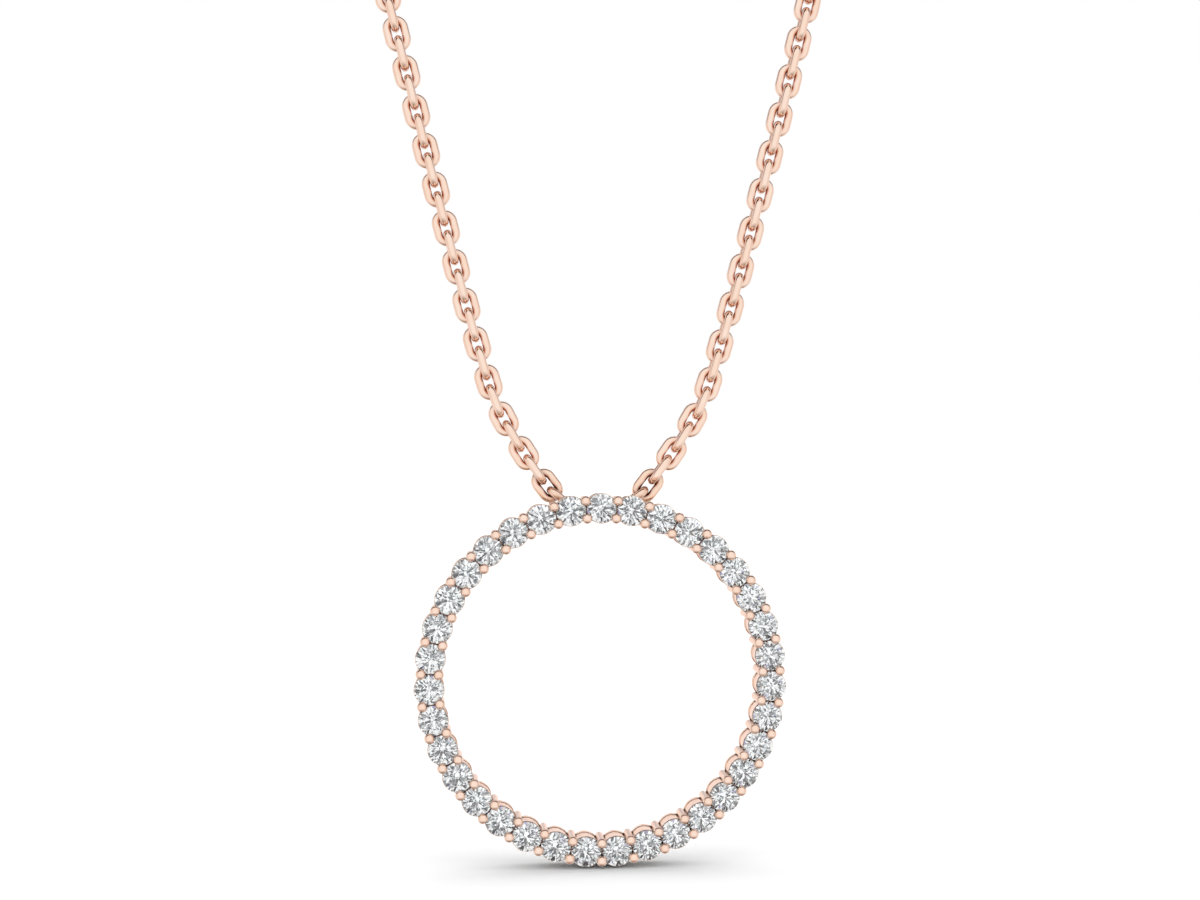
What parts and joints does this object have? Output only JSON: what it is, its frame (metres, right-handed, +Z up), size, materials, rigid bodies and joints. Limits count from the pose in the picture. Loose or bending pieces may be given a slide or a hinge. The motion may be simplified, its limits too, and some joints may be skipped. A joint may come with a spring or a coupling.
{
  "type": "open circle pendant necklace",
  "caption": "Open circle pendant of round brilliants in a shared-prong rose gold setting, hung by two eyelets from a whole loop of oval cable chain with a spring-ring clasp at the nape.",
  "frame": {"origin": "middle of the clasp at the nape, where the necklace hangs on the neck", "axes": "+Z up, -Y to the wearer's front, +X to the right of someone who faces the wearer"},
  "size_m": [0.1, 0.106, 0.1491],
  "materials": {
    "rose_gold": "polished",
    "diamond": "polished facets"
  },
  "bodies": {
    "chain": {"link_left_1": "rose_gold", "link_left_2": "rose_gold", "link_right_1": "rose_gold", "link_right_2": "rose_gold", "chain_left": "rose_gold", "chain_right": "rose_gold", "clasp": "rose_gold"},
    "pendant": {"setting": "rose_gold", "stone_01": "diamond", "stone_02": "diamond", "stone_03": "diamond", "stone_04": "diamond", "stone_05": "diamond", "stone_06": "diamond", "stone_07": "diamond", "stone_08": "diamond", "stone_09": "diamond", "stone_10": "diamond", "stone_11": "diamond", "stone_12": "diamond", "stone_13": "diamond", "stone_14": "diamond", "stone_15": "diamond", "stone_16": "diamond", "stone_17": "diamond", "stone_18": "diamond", "stone_19": "diamond", "stone_20": "diamond", "stone_21": "diamond", "stone_22": "diamond", "stone_23": "diamond", "stone_24": "diamond", "stone_25": "diamond", "stone_26": "diamond", "stone_27": "diamond", "stone_28": "diamond", "stone_29": "diamond", "stone_30": "diamond", "stone_31": "diamond", "stone_32": "diamond", "stone_33": "diamond", "stone_34": "diamond", "stone_35": "diamond"}
  },
  "joints": [
    {"name": "pendant_swing", "type": "hinge", "parent": "chain", "child": "pendant", "pos_m": [0, -0.1023, -0.1263], "axis": [1, 0, 0], "range_deg": [-25, 25]}
  ]
}
